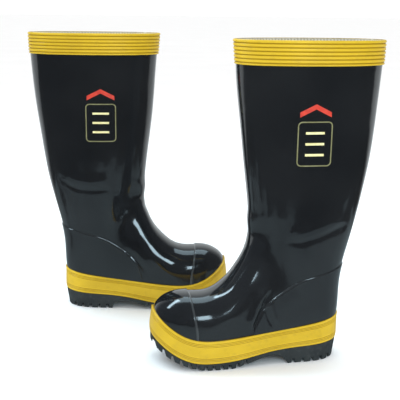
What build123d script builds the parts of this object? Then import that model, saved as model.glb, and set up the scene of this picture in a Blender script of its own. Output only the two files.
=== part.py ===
from build123d import *
import os
from math import copysign, cos, pi, sin

# A pair of knee-high rubber fire boots, standing side by side and facing opposite ways.
# Each boot is built in its own frame: x runs forward from the back of the heel, y points to
# the outer side of the foot, z is up from the floor.  The right boot mirrors the left.

# ---- driving dimensions, in millimetres ----
BOOT_HEIGHT = 420.0
BAND_HEIGHT = 31.0          # yellow band round the top
BAND_PROUD = 1.8
RUBBER = 3.0                # outer rubber of leg and vamp
LINING = 2.2
OVERLAY = 1.2               # second layer of rubber over toe and heel
FOXING_REACH = 14.0         # how far the yellow strip turns in under the foot
TOE_CAP_STEEL = 1.8
HEEL_COUNTER = 1.6
PLATE = 1.5                 # steel midsole plate
SOLE_GAP = 1.0              # from the strip's lower edge up to the underside of the upper
BOARD = 3.2                 # insole board
FOOTBED = 4.5
SHANK = (2.4, 24.0)         # thickness and width of the steel strip under the arch
COLLAR_TAPE = (1.0, 22.0)   # thickness and height of the tape inside the rim
BADGE_THICK = 0.5
GLUE_GAP = 0.2              # left between layers that lie on each other
LINING_GAP = 0.8            # from the rubber to the lining

# Where the two boots stand: the ankle point of each, and the way that the left toe turns.
ANKLE_X = 52.0
RIGHT_ANKLE = (-131.0, 99.0)
LEFT_ANKLE = (159.5, -110.5)
LEFT_TOE_IN = 8.75          # degrees towards -Y

# ---- side view of the sole: (x, z) points of curves from heel to toe ----
FOXING_TOP = [(-6, 61), (40, 53), (102, 46), (165, 40.5), (205, 43.5), (235, 58), (262, 80)]
FOXING_BOTTOM = [(-6, 25.5), (40, 23), (102, 18), (140, 11.5), (175, 9), (208, 12.5), (237, 26), (262, 44)]
HEEL_BACK = [(-6, 20), (1, 20), (5, 0)]
HEEL_FRONT = (76, 0)
HEEL_BREAST = (79, 9)
WAIST = [(90, 12), (120, 8), (150, 0)]
TREAD_RISE = [(182, 0), (225, 10.5), (262, 34)]
EDGE_STEP = 1.0             # the sole's edge stands in from the yellow strip
LUG_DEPTH = 4.5
FRONT_LUGS = (134.0, 249.5, 10.5)   # first and last groove, and their spacing
HEEL_LUGS = (16.0, 68.0, 13.0)
LUG_GAP = 3.6
LUG_ROWS = (-15.0, 15.0)    # grooves along the forepart

# ---- plan view of the foot at the yellow strip: outer side, then back along the inner side ----
OUTER_SIDE = [(0, 0), (1.8, 10), (7.5, 20.5), (28, 34), (63, 38.5), (101, 41.5), (139, 46.5),
              (174, 49.5), (207, 48), (235, 36), (248, 20), (253, 5), (254, -6)]
INNER_SIDE = [(254, -6), (253, -15), (248, -26), (230, -40), (198, -46), (165, -45), (127, -42),
              (89, -40), (55, -38.5), (28, -34), (7.5, -20.5), (1.8, -10), (0, 0)]

# ---- cross-sections of the boot, from the toe to the top ----
# Each is a rounded closed curve in a plane square to the side view: the sole or back point
# (x, z), the top or front point (x, z), half the width, and how far the middle lies outward.
STATIONS = [
    ((250, 50), (250, 63), 8, -3),
    ((247, 42), (246, 74), 18, -2.5),
    ((239.5, 32), (237.5, 83), 29.5, -2),
    ((224, 21.5), (219, 91), 40, 0),
    ((196, 11.8), (188, 92), 45, 2),
    ((163, 10), (163, 101), 44, 2.5),
    ((125, 15), (137, 131), 41, 2),
    ((88, 20.2), (127, 151), 39, 1),
    ((50, 23.4), (125, 165), 38, 0),
    ((16, 29), (125, 184), 37.5, 0),
    ((3, 63), (125.5, 203), 39.5, 0),
    ((0.5, 104), (127, 218.5), 42, 0),
    ((-9.5, 153), (129, 236), 45, 0),
    ((-23.5, 213), (131.5, 258), 48, 0),
    ((-35, 284), (136, 300.5), 50, 0),
    ((-43, 355), (142, 360.5), 51.5, 0),
    ((-46.5, 420), (146.5, 420), 52.5, 0),
    ((-47, 434), (147.5, 434), 52.7, 0),
]
TOE_ROOM = (1, 1, 1, 1, 1, 0.5, 0.1)       # share of the steel cap's thickness given up at each
HEEL_ROOM = {8: 0.5, 9: 1, 10: 1, 11: 1, 12: 0.5}     # the same for the heel counter
LIFT = (1, 1, 1, 1, 1, 1, 1, 1, 0.85, 0.4, 0.1)      # share of the sole layers' height taken at each
SOLE_STATIONS = 9           # these make the underside of the foot
SECTION_POINTS = 24
FORM_TOLERANCE = 0.01
TALLER = 2.0                # how much taller an inner form is, for each millimetre of inset, to cut through
NOSE_ROOM = 1.6             # the walls are thicker at the very tip of the toe
NOSE_END = 3.0              # the station where that thickening ends
NOSE_HELD = 0.8             # share of the inset that the very tip keeps out of its height
SHARPNESS = (5, 5, 5, 5, 5, 5, 5, 5, 3.6, 2.8, 2.4)  # underside corners: 2 is an ellipse
SOFT_TOP = 2.3
LEG_ROUND = 2.2

# ---- seams of the second rubber layer, and the pieces inside, in the side view ----
TOE_SEAM = [(204, 10), (196, 60), (190, 120)]
HEEL_SEAM = [(-30, 134), (14, 124), (59, 114), (89, 98), (108, 84), (120, 61), (128, 20)]
CAP_BACK = 192.0            # rear edge of the steel toe cap
BEAD_WIDTH = 8.0
COUNTER = ((-20, 60), (36, 100))    # x and z range of the heel counter
SHANK_RANGE = (52, 150)
PLATE_FRONT = 232.0
BED_FRONT = 224.0
HEEL_CORE = ((16, 64), (-19, 19), (6, 15))
BADGE_PANEL = ((36, 84), (265, 322))    # x and z range of the badge's panel
CHEVRON_FOOT = 328.0        # height where the chevron over the panel starts
CHEVRON_SIZE = (44.0, 14.0, 12.0)       # width, rise and thickness

# ---- sizes of cutting tools, all clear of the boot ----
WIDE = 160.0
UNDER = -10.0               # below the floor
OVER_FOOT = 200.0           # above the foot
OVER_ANKLE = 150.0          # above the steel cap and the heel counter
PRISM_HEIGHT = 130.0
TINY = 20.0                 # solids smaller than this, in cubic millimetres, are cutting scraps


# ---- building blocks ----
def rounded(value, exponent):
    return copysign(abs(value) ** (2 / exponent), value)


def section(index, inset, lift):
    """Points round one cross-section, moved inward by inset, its sole point raised by lift."""
    (sole_x, sole_z), (top_x, top_z), half_width, outward = STATIONS[index]
    nose = max(0.0, 1 - index / NOSE_END)           # the toe end moves back instead of shrinking
    shrink = inset * (1 - NOSE_HELD * nose)
    reach = ((top_x - sole_x) ** 2 + (top_z - sole_z) ** 2) ** 0.5
    along_x = (top_x - sole_x) / reach
    along_z = (top_z - sole_z) / reach
    sole_x += along_x * shrink - inset * nose * NOSE_ROOM
    sole_z += along_z * shrink + lift * (LIFT[index] if index < len(LIFT) else 0)
    top_x += -along_x * shrink - inset * nose * NOSE_ROOM
    top_z -= along_z * shrink
    if index == len(STATIONS) - 1:
        sole_z += TALLER * inset
        top_z += TALLER * inset
    width = half_width - shrink
    bottom_power = SHARPNESS[index] if index < len(SHARPNESS) else LEG_ROUND
    top_power = SOFT_TOP if index < SOLE_STATIONS else LEG_ROUND
    points = []
    for step in range(SECTION_POINTS):
        angle = 2 * pi * step / SECTION_POINTS
        power = top_power if cos(angle) > 0 else bottom_power
        up = rounded(cos(angle), power)
        side = rounded(sin(angle), power)
        points.append((
            (sole_x + top_x) / 2 + up * (top_x - sole_x) / 2,
            outward + side * width,
            (sole_z + top_z) / 2 + up * (top_z - sole_z) / 2,
        ))
    return points + points[:1]


def boot_form(inset, toe=0.0, heel=0.0, lift=0.0):
    """The whole boot as one solid, inset from the outer face of the rubber."""
    sections = []
    for index in range(len(STATIONS)):
        extra = toe * TOE_ROOM[index] if index < len(TOE_ROOM) else heel * HEEL_ROOM.get(index, 0)
        sections.append(section(index, inset + extra, lift))
    wall = Face.make_surface_from_array_of_points(sections, tol=FORM_TOLERANCE)
    ends = [Face(Wire([edge])) for edge in wall.edges() if edge.is_closed]
    return Solid(Shell([wall] + ends))


def in_side_view(points):
    return [(x, 0, z) for x, z in points]


def across(outline):
    """A block right across the boot, from a closed outline in the side view."""
    return extrude(Face(outline), WIDE / 2, dir=(0, 1, 0), both=True)


def between(lower, upper):
    """A block across the boot between two curves of the side view."""
    bottom = Spline(*in_side_view(lower))
    top = Spline(*in_side_view(upper))
    return across(Wire([bottom, Line(bottom @ 1, top @ 1), top, Line(bottom @ 0, top @ 0)]))


def polygon(points):
    """A block across the boot with a straight-sided outline in the side view."""
    return across(Wire(Polyline(*in_side_view(points), close=True).edges()))


def block(x_range, y_range, z_range):
    ranges = (x_range, y_range, z_range)
    size = [high - low for low, high in ranges]
    middle = [(high + low) / 2 for low, high in ranges]
    return Pos(*middle) * Box(*size)


def raised(curve, height):
    return [(x, z + height) for x, z in curve]


def moved_in(side, inset):
    """The points of one side of the plan outline, moved square to it by inset."""
    mirrored = [(near[0], 2 * end[1] - near[1]) for end, near in (side[:2], side[:-3:-1])]
    padded = mirrored[:1] + side + mirrored[1:]
    points = []
    for before, (x, y), after in zip(padded, side, padded[2:]):
        along_x, along_y = after[0] - before[0], after[1] - before[1]
        length = (along_x ** 2 + along_y ** 2) ** 0.5
        points.append((x + inset * along_y / length, y - inset * along_x / length))
    return points


def plan_prism(inset):
    """A prism over the plan outline of the foot, its wall moved inward by inset."""
    outer_side = Spline(*moved_in(OUTER_SIDE, inset))
    inner_side = Spline(*moved_in(INNER_SIDE, inset))
    return extrude(Face(Wire([outer_side, inner_side])), PRISM_HEIGHT, dir=(0, 0, 1))


def tidy(shape):
    """The real solids of a cut, without its scraps."""
    solids = [solid for solid in shape.solids() if solid.volume > TINY]
    return solids[0] if len(solids) == 1 else Compound(solids)


def steps(first, last, spacing):
    count = round((last - first) / spacing)
    return [first + index * spacing for index in range(count + 1)]


# ---- the nested forms that the layers lie between ----
FULL = (-WIDE, 2 * WIDE)
BOTH_SIDES = (-WIDE / 2, WIDE / 2)
STACK = PLATE + BOARD + 3 * GLUE_GAP
WALL = RUBBER + LINING_GAP
taken = LINING_GAP - 2 * GLUE_GAP
room = {"toe": TOE_CAP_STEEL - taken, "heel": HEEL_COUNTER - taken, "lift": STACK}

outer = boot_form(0)
skin = boot_form(-OVERLAY)
rubber_inside = boot_form(RUBBER)
glue_line = boot_form(RUBBER + GLUE_GAP)
lining_outside = boot_form(WALL, **room)
lining_inside = boot_form(WALL + LINING, **room)
foot_space = boot_form(WALL + LINING + GLUE_GAP, **room)
tape_inside = boot_form(WALL + LINING + GLUE_GAP + COLLAR_TAPE[0], **room)
whole_leg = block(FULL, BOTH_SIDES, (UNDER, BOOT_HEIGHT))


# ---- sole ----
def sole_profile():
    """Outsole and heel as a block across the boot."""
    top = Spline(*in_side_view(FOXING_BOTTOM))
    back = Polyline(top @ 0, *in_side_view(HEEL_BACK))
    heel = Line(back @ 1, in_side_view([HEEL_FRONT])[0])
    breast = ThreePointArc(heel @ 1, *in_side_view([HEEL_BREAST, WAIST[0]]))
    waist = Spline(*in_side_view(WAIST), tangents=((1, 0, 0), (1, 0, 0)))
    ball = Line(waist @ 1, in_side_view(TREAD_RISE)[0])
    rise = Spline(*in_side_view(TREAD_RISE), tangents=((1, 0, 0), (1, 0, 0.9)))
    toe = Line(rise @ 1, top @ 1)
    edges = back.edges() + [top, heel, breast, waist, ball, rise, toe]
    return across(Wire(edges))


def lug_grooves():
    """The slots between the lugs, cut up into the tread."""
    tread = WAIST + TREAD_RISE
    front = between(raised(tread, UNDER), raised(tread, LUG_DEPTH))
    half = LUG_GAP / 2
    slots = []
    for x in steps(*FRONT_LUGS):
        slots.append(front & block((x - half, x + half), BOTH_SIDES, (UNDER, OVER_FOOT)))
    for y in LUG_ROWS:
        slots.append(front & block((FRONT_LUGS[0], FULL[1]), (y - half, y + half), (UNDER, OVER_FOOT)))
    for x in steps(*HEEL_LUGS):
        slots.append(block((x - half, x + half), BOTH_SIDES, (UNDER, LUG_DEPTH)))
    return slots


def make_sole(pieces):
    """Outsole with its heel, and the core and shank that lie in it."""
    half_width = SHANK[1] / 2
    under = between(raised(FOXING_BOTTOM, -SHANK[0]), FOXING_BOTTOM)
    pieces["shank"] = under & block(SHANK_RANGE, (-half_width, half_width), (0, OVER_FOOT))
    pieces["heel_core"] = block(*HEEL_CORE)
    sole = sole_profile() & plan_prism(EDGE_STEP)
    for cut in [pieces["heel_core"], pieces["shank"]] + lug_grooves():
        sole = sole - cut
    pieces["outsole"] = max(sole.solids(), key=lambda solid: solid.volume)


# ---- uppers ----
def make_upper(pieces):
    """Leg, overlays, yellow strip and yellow band, all of rubber."""
    second_layer = (skin & block(FULL, BOTH_SIDES, (0, OVER_FOOT))) - outer
    toe_front = polygon(TOE_SEAM + [(FULL[1], TOE_SEAM[-1][1]), (FULL[1], TOE_SEAM[0][1])])
    heel_foot = (HEEL_SEAM[0][0], HEEL_SEAM[-1][1])
    heel_back = across(Wire([
        Spline(*in_side_view(HEEL_SEAM)),
        *Polyline(*in_side_view([HEEL_SEAM[-1], heel_foot, HEEL_SEAM[0]])).edges(),
    ]))
    covered = between(FOXING_TOP, raised(FOXING_TOP, WIDE))
    pieces["upper_rubber"] = (outer & whole_leg) - rubber_inside
    pieces["toe_overlay"] = second_layer & toe_front & covered
    pieces["heel_overlay"] = second_layer & heel_back & covered
    ring = (plan_prism(0) & between(FOXING_BOTTOM, FOXING_TOP)) - plan_prism(FOXING_REACH)
    pieces["foxing_strip"] = ring - outer
    band_zone = block(FULL, BOTH_SIDES, (BOOT_HEIGHT - BAND_HEIGHT, BOOT_HEIGHT))
    pieces["top_band"] = (boot_form(-BAND_PROUD) & band_zone) - outer


def make_badge(pieces):
    """A plain panel with a chevron above it, on the outer side of the leg."""
    (left, right), (low, high) = BADGE_PANEL
    middle = (left + right) / 2
    width, rise, thick = CHEVRON_SIZE
    foot = CHEVRON_FOOT
    under_edge = [(middle - width / 2, foot), (middle, foot + rise), (middle + width / 2, foot)]
    chevron = under_edge + raised(under_edge, thick)[::-1]
    badge_zone = block(FULL, (0, WIDE / 2), (OVER_FOOT, BOOT_HEIGHT))
    film = (boot_form(-BADGE_THICK) & badge_zone) - outer
    panel = film & block((left, right), BOTH_SIDES, (low, high))
    pieces["badge"] = Compound(panel.solids() + (film & polygon(chevron)).solids())


# ---- inside ----
def make_inside(pieces):
    """Lining, steel parts, insole layers and footbed."""
    base = RUBBER + GLUE_GAP + SOLE_GAP
    board_foot = raised(FOXING_BOTTOM, base + PLATE + GLUE_GAP)
    plate_zone = between(raised(FOXING_BOTTOM, 2 * UNDER), raised(FOXING_BOTTOM, base + PLATE))
    board_zone = between(board_foot, raised(FOXING_BOTTOM, base + STACK - GLUE_GAP))
    plate_end = block((-WIDE, PLATE_FRONT), BOTH_SIDES, (UNDER, OVER_FOOT))
    pieces["midsole_plate"] = (glue_line & plate_zone & plate_end) - lining_outside
    pieces["insole_board"] = (glue_line & board_zone) - lining_outside
    above_board = between(raised(FOXING_BOTTOM, base + STACK), raised(FOXING_BOTTOM, OVER_FOOT))
    pocket = (glue_line & above_board & block(FULL, BOTH_SIDES, (0, OVER_ANKLE))) - lining_outside
    pieces["toe_cap"] = pocket & block((CAP_BACK, FULL[1]), BOTH_SIDES, (0, OVER_FOOT))
    bead = block((CAP_BACK - BEAD_WIDTH, CAP_BACK - GLUE_GAP), BOTH_SIDES, (0, OVER_FOOT))
    pieces["toe_cap_bead"] = pocket & bead
    pieces["heel_counter"] = pocket & block(COUNTER[0], BOTH_SIDES, COUNTER[1])
    pieces["lining"] = (lining_outside & whole_leg) - lining_inside
    bed_top = base + STACK + LINING + FOOTBED
    bed_zone = between(raised(FOXING_BOTTOM, 2 * UNDER), raised(FOXING_BOTTOM, bed_top))
    pieces["footbed"] = foot_space & bed_zone & block((-WIDE, BED_FRONT), BOTH_SIDES, (UNDER, OVER_FOOT))
    tape_zone = block(FULL, BOTH_SIDES, (BOOT_HEIGHT - COLLAR_TAPE[1], BOOT_HEIGHT))
    pieces["collar_tape"] = (foot_space & tape_zone) - tape_inside


def make_boot():
    """Every piece of the left boot, by name, in the boot's own frame."""
    pieces = {}
    make_upper(pieces)
    make_badge(pieces)
    make_inside(pieces)
    make_sole(pieces)
    return {name: tidy(shape) for name, shape in pieces.items()}


# ---- the pair ----
boot = make_boot()
for name, shape in boot.items():
    print(name, round(sum(solid.volume for solid in shape.solids())), len(shape.solids()), shape.is_valid)
left_place = Pos(*LEFT_ANKLE) * Rot(0, 0, 180 + LEFT_TOE_IN) * Pos(-ANKLE_X)
right_place = Pos(*RIGHT_ANKLE) * Pos(-ANKLE_X)
pair = {}
for name, shape in boot.items():
    pair["left_" + name] = shape.moved(left_place)
    pair["right_" + name] = mirror(shape, about=Plane.XZ).moved(right_place)

# The origin is the middle of the pair's footprint, on the floor.
box = Compound([solid for shape in pair.values() for solid in shape.solids()]).bounding_box()
centre = Pos(-(box.min.X + box.max.X) / 2, -(box.min.Y + box.max.Y) / 2, 0)
os.makedirs("parts", exist_ok=True)
for name, shape in pair.items():
    export_step(shape.moved(centre), f"parts/{name}.step")
print("footprint centre moved by", centre.position)
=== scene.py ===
"""Looks of a pair of rubber fire boots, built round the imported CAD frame.

Shapes are worked out in millimetres in each boot's own frame: x runs forward from the back
of the heel, y points to the outer side of the foot, z is up.  to_row() moves them to metres
in the row frame.
"""
from math import cos, pi, radians, sin

import bmesh
import bpy
import numpy as np
from mathutils import Euler, Matrix, Vector
from mathutils.bvhtree import BVHTree

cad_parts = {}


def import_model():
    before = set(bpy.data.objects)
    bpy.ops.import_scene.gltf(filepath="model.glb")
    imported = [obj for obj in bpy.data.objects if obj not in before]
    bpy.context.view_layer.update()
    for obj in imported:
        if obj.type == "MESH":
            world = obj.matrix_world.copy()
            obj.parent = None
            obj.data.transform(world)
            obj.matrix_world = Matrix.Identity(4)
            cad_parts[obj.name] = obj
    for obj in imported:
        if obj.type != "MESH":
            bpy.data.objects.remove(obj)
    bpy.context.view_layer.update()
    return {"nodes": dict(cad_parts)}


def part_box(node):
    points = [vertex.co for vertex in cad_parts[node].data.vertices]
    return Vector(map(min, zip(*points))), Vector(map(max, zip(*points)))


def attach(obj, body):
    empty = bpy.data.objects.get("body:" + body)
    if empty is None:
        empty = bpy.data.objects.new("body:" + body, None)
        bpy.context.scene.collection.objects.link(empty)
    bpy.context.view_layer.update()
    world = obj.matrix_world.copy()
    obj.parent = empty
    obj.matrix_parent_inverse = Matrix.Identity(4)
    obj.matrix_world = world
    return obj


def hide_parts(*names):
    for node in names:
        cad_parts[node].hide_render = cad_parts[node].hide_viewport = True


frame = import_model()

# ---- driving dimensions, in millimetres, as in the CAD ----
BOOT_HEIGHT = 420.0
BAND_HEIGHT = 31.0
RUBBER = 3.0
LINING_GAP = 0.8
LINING = 2.2
SOLE_STACK = 5.3            # plate and board under the lining
BED_HEIGHT = 11.7           # from the strip's lower edge up to the top of the footbed's lining
FOOTBED = 4.5
LEFT_TOE_IN = 8.75          # degrees
CORE_X = 40.0               # the heel core's middle, which places each boot

FOXING_TOP = [(-6, 61), (40, 53), (102, 46), (165, 40.5), (205, 43.5), (235, 58), (262, 80)]
FOXING_BOTTOM = [
    (-6, 25.5), (40, 23), (102, 18), (140, 11.5), (175, 9), (208, 12.5), (237, 26), (262, 44),
]
WAIST = [(79, 9), (90, 12), (120, 8), (150, 0)]
TREAD_RISE = [(150, 0), (182, 0), (205, 4), (225, 10.5), (243, 21), (262, 34)]
HEEL_FRONT = 76.0
FRONT_LUGS = (134.0, 249.5, 10.5)   # first and last groove, and their spacing
HEEL_LUGS = (16.0, 68.0, 13.0)
LUG_GAP = 3.6
LUG_DEPTH = 4.5
LUG_ROWS = (-15.0, 15.0)    # grooves along the forepart
NOTCH = 5.0                 # how far the notches between lugs reach in from the sole's edge
OUTLINE_POINTS = 2400       # how finely the plan outline is followed under the sole

# The plan outline of the foot at the yellow strip, once round from the back of the heel.
OUTLINE = [
    (0, 0), (1.8, 10), (7.5, 20.5), (28, 34), (63, 38.5), (101, 41.5), (139, 46.5), (174, 49.5),
    (207, 48), (235, 36), (248, 20), (253, 5), (254, -6), (253, -15), (248, -26), (230, -40),
    (198, -46), (165, -45), (127, -42), (89, -40), (55, -38.5), (28, -34), (7.5, -20.5), (1.8, -10),
]

# Cross-sections from the toe to the top: sole or back point (x, z), top or front point (x, z),
# half the width, and how far the middle lies outward.
STATIONS = [
    ((250, 50), (250, 63), 8, -3),
    ((247, 42), (246, 74), 18, -2.5),
    ((239.5, 32), (237.5, 83), 29.5, -2),
    ((224, 21.5), (219, 91), 40, 0),
    ((196, 11.8), (188, 92), 45, 2),
    ((163, 10), (163, 101), 44, 2.5),
    ((125, 15), (137, 131), 41, 2),
    ((88, 20.2), (127, 151), 39, 1),
    ((50, 23.4), (125, 165), 38, 0),
    ((16, 29), (125, 184), 37.5, 0),
    ((3, 63), (125.5, 203), 39.5, 0),
    ((0.5, 104), (127, 218.5), 42, 0),
    ((-9.5, 153), (129, 236), 45, 0),
    ((-23.5, 213), (131.5, 258), 48, 0),
    ((-35, 284), (136, 300.5), 50, 0),
    ((-43, 355), (142, 360.5), 51.5, 0),
    ((-46.5, 420), (146.5, 420), 52.5, 0),
    ((-47, 434), (147.5, 434), 52.7, 0),
]
TOE_ROOM = (1, 1, 1, 1, 1, 0.5, 0.1)
HEEL_ROOM = {8: 0.5, 9: 1, 10: 1, 11: 1, 12: 0.5}
LIFT = (1, 1, 1, 1, 1, 1, 1, 1, 0.85, 0.4, 0.1)
SHARPNESS = (5, 5, 5, 5, 5, 5, 5, 5, 3.6, 2.8, 2.4)
SOLE_STATIONS = 9
SOFT_TOP = 2.3
LEG_ROUND = 2.2
NOSE_ROOM = 1.6
RIM_STATION = 16

# Edges of the second rubber layer, in the side view.
TOE_SEAM = [(10, 198), (45, 196), (80, 201), (120, 204)]     # (z, x)
HEEL_SEAM = [(-30, 134), (14, 124), (59, 114), (89, 98), (108, 84), (120, 61), (128, 20)]
OVERLAY = 1.3
OVERLAY_BEVEL = 4.0

# The emblem on the outer side of the leg.
BADGE_MIDDLE = {"left": 54.0, "right": 63.0}
BADGE_HALF = 21.5
BADGE_LOW = {"left": 266.0, "right": 263.0}
BADGE_HEIGHT = 55.0
BADGE_CORNER = 5.0
UPRIGHT_FROM = 3.0          # strokes with a larger half width are measured straight up

BAND_GROOVES = 6
BAND_PITCH = 4.75
TAPE_HEIGHT = 22.0


# ---- curves ----
def spline(knots, values, at):
    """A smooth curve through values at knots, with relaxed ends, read at each place."""
    knots = np.asarray(knots, float)
    values = np.asarray(values, float)
    count = len(knots)
    gap = np.diff(knots)
    system = np.eye(count)
    right = np.zeros((count,) + values.shape[1:])
    for i in range(1, count - 1):
        system[i, i - 1:i + 2] = gap[i - 1], 2 * (gap[i - 1] + gap[i]), gap[i]
        right[i] = 6 * ((values[i + 1] - values[i]) / gap[i] - (values[i] - values[i - 1]) / gap[i - 1])
    bend = np.linalg.solve(system, right.reshape(count, -1)).reshape(right.shape)
    at = np.asarray(at, float)
    i = np.clip(np.searchsorted(knots, at) - 1, 0, count - 2)
    extra = (...,) + (None,) * (values.ndim - 1)
    t = (at - knots[i])[extra]
    h = gap[i][extra]
    slope = (values[i + 1] - values[i]) / h - h * (2 * bend[i] + bend[i + 1]) / 6
    return values[i] + t * slope + t * t * bend[i] / 2 + t ** 3 * (bend[i + 1] - bend[i]) / (6 * h)


def curve(points, at):
    """The second coordinate of a curve of (first, second) points, at the first."""
    points = np.array(points, float)
    return spline(points[:, 0], points[:, 1], at)


def ease(low, high, at):
    """0 below low, 1 above high, and smooth between."""
    t = np.clip((np.asarray(at, float) - low) / (high - low), 0, 1)
    return t * t * (3 - 2 * t)


def bump(middle, width, at):
    return np.exp(-((np.asarray(at, float) - middle) / width) ** 2)


# ---- the boot's form ----
def station_rows(inset, toe=0.0, heel=0.0, lift=0.0):
    """Numbers of each cross-section, moved inward by inset, with room for what lies there."""
    rows = []
    for index, ((sole_x, sole_z), (top_x, top_z), half_width, outward) in enumerate(STATIONS):
        room = toe * TOE_ROOM[index] if index < len(TOE_ROOM) else heel * HEEL_ROOM.get(index, 0)
        nose = max(0.0, 1 - index / 3.0)
        reach = np.hypot(top_x - sole_x, top_z - sole_z)
        along = np.array((top_x - sole_x, top_z - sole_z)) / reach
        shrink = (inset + room) * (1 - 0.8 * nose)
        back = np.array(((inset + room) * nose * NOSE_ROOM, 0))
        raised = np.array((0, lift * (LIFT[index] if index < len(LIFT) else 0)))
        sole = np.array((sole_x, sole_z)) + along * shrink - back + raised
        top = np.array((top_x, top_z)) - along * shrink - back
        bottom_power = SHARPNESS[index] if index < len(SHARPNESS) else LEG_ROUND
        top_power = SOFT_TOP if index < SOLE_STATIONS else LEG_ROUND
        rows.append((*sole, *top, half_width - shrink, outward, bottom_power, top_power))
    return np.array(rows)


def station_knots():
    rows = station_rows(0)
    steps = [np.hypot(*np.diff(rows[:, pair], axis=0).T) for pair in ((0, 1), (2, 3))]
    return np.concatenate(([0], np.cumsum((steps[0] + steps[1]) / 2)))


KNOTS = station_knots()
RIM = KNOTS[RIM_STATION]
OUTER_ROWS = station_rows(0)
LINING_ROOM = {"toe": 1.4, "heel": 1.2, "lift": SOLE_STACK}


def form(rows, place, angle):
    """Points on the form.

    place runs from toe to top, and angle from the front or top round to the back or sole.
    """
    place, angle = np.broadcast_arrays(place, angle)
    row = spline(KNOTS, rows, place)
    up = np.cos(angle)
    side = np.sin(angle)
    power = np.where(up > 0, row[..., 7], row[..., 6])
    up = np.sign(up) * np.abs(up) ** (2 / power)
    side = np.sign(side) * np.abs(side) ** (2 / power)
    x = (row[..., 0] + row[..., 2] + up * (row[..., 2] - row[..., 0])) / 2
    z = (row[..., 1] + row[..., 3] + up * (row[..., 3] - row[..., 1])) / 2
    return np.stack([x, row[..., 5] + side * row[..., 4], z], axis=-1)


def even_angles(rows, places, columns, low=0.0, high=2 * pi):
    """For each place, angles that divide the way round from low to high evenly."""
    fine = np.linspace(0, 1, 721)
    low = np.broadcast_to(low, places.shape)
    high = np.broadcast_to(high, places.shape)
    angles = low[:, None] + (high - low)[:, None] * fine
    points = form(rows, places[:, None], angles)
    length = np.cumsum(np.linalg.norm(np.diff(points, axis=1), axis=2), axis=1)
    length = np.concatenate([np.zeros((len(places), 1)), length], axis=1)
    found = [np.interp(np.asarray(columns) * run[-1], run, row) for run, row in zip(length, angles)]
    return np.array(found)


def normals(grid, wrap):
    """Unit normals of a grid of points, pointing out of the boot."""
    down = np.gradient(grid, axis=0)
    if wrap:
        across = np.roll(grid, -1, axis=1) - np.roll(grid, 1, axis=1)
    else:
        across = np.gradient(grid, axis=1)
    normal = np.cross(across, down)
    normal /= np.maximum(np.linalg.norm(normal, axis=2, keepdims=True), 1e-9)
    return normal


def level_rings(rows, z, columns):
    """Level rings near the rim at heights z: their points, the level way out, and their angles."""
    middle = [(row[1] + row[3]) / 2 for row in OUTER_ROWS]
    places = np.interp(z, middle[-5:], KNOTS[-5:])
    angles = even_angles(rows, places, np.arange(columns) / columns)
    rings = form(rows, places[:, None], angles)
    rings[..., 2] = z[:, None]
    out = normals(rings, True)
    out[..., 2] = 0
    return rings, out, angles


def side_angle(rows, place, x, z):
    """The angle on the outer side at which the section at place meets the point (x, z)."""
    row = spline(KNOTS, rows, place)
    run = row[..., 2:4] - row[..., 0:2]
    share = ((x - row[..., 0]) * run[..., 0] + (z - row[..., 1]) * run[..., 1]) / (run ** 2).sum(-1)
    up = np.clip(2 * share - 1, -1, 1)
    power = np.where(up > 0, row[..., 7], row[..., 6])
    return np.arccos(np.sign(up) * np.abs(up) ** (power / 2))


def place_at(rows, x, z, low=0.0, high=None):
    """The place whose section passes through (x, z) of the side view, found by halving."""
    x, z = np.broadcast_arrays(np.asarray(x, float), np.asarray(z, float))
    low = np.full(x.shape, low)
    high = np.full(x.shape, KNOTS[-1] if high is None else high)
    for _ in range(40):
        middle = (low + high) / 2
        row = spline(KNOTS, rows, middle)
        run_x, run_z = row[..., 2] - row[..., 0], row[..., 3] - row[..., 1]
        beyond = run_x * (z - row[..., 1]) - run_z * (x - row[..., 0]) < 0
        high = np.where(beyond, middle, high)
        low = np.where(beyond, low, middle)
    return (low + high) / 2


def on_side(rows, x, z, low=0.0):
    """The point of the outer side that lies at (x, z) in the side view."""
    place = place_at(rows, x, z, low)
    return form(rows, place, side_angle(rows, place, x, z))


# ---- folds and waves of the soft rubber ----
# Each fold: its line in the side view, depth of the valley, height of the roll above it, width.
FOLDS = {
    "right": [
        ([(-6, 214), (2, 203), (14, 194), (29, 189), (52, 188), (80, 190)], 1.1, 1.5, 7.0),
        ([(96, 96), (112, 82), (124, 66), (130, 54)], 1.0, 0.7, 4.5),
    ],
    "left": [
        ([(88, 168), (80, 166), (65, 165), (40, 172), (16, 181), (-2, 187)], 1.5, 2.2, 7.5),
        ([(126, 46), (121, 60), (114, 76), (106, 94), (100, 104)], 2.6, 1.6, 4.0),
        ([(98, 52), (104, 64), (108, 76), (112, 90)], 1.4, 1.3, 4.0),
    ],
}


def line_distance(line, x, z):
    """Signed distance to a line of the side view (positive above it), and the share along it."""
    line = np.array(sorted(line), float)
    best = np.full(x.shape, 1e9)
    along = np.zeros(x.shape)
    sign = np.ones(x.shape)
    lengths = np.hypot(*np.diff(line, axis=0).T)
    start = np.concatenate(([0], np.cumsum(lengths)))
    for index, (a, b) in enumerate(zip(line, line[1:])):
        run = b - a
        t = ((x - a[0]) * run[0] + (z - a[1]) * run[1]) / (run @ run)
        t = np.clip(t, 0, 1)
        dx = x - a[0] - t * run[0]
        dz = z - a[1] - t * run[1]
        away = np.hypot(dx, dz)
        nearer = away < best
        best = np.where(nearer, away, best)
        sign = np.where(nearer, np.sign(run[0] * dz - run[1] * dx), sign)
        along = np.where(nearer, (start[index] + t * lengths[index]) / start[-1], along)
    return best * sign, along


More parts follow.
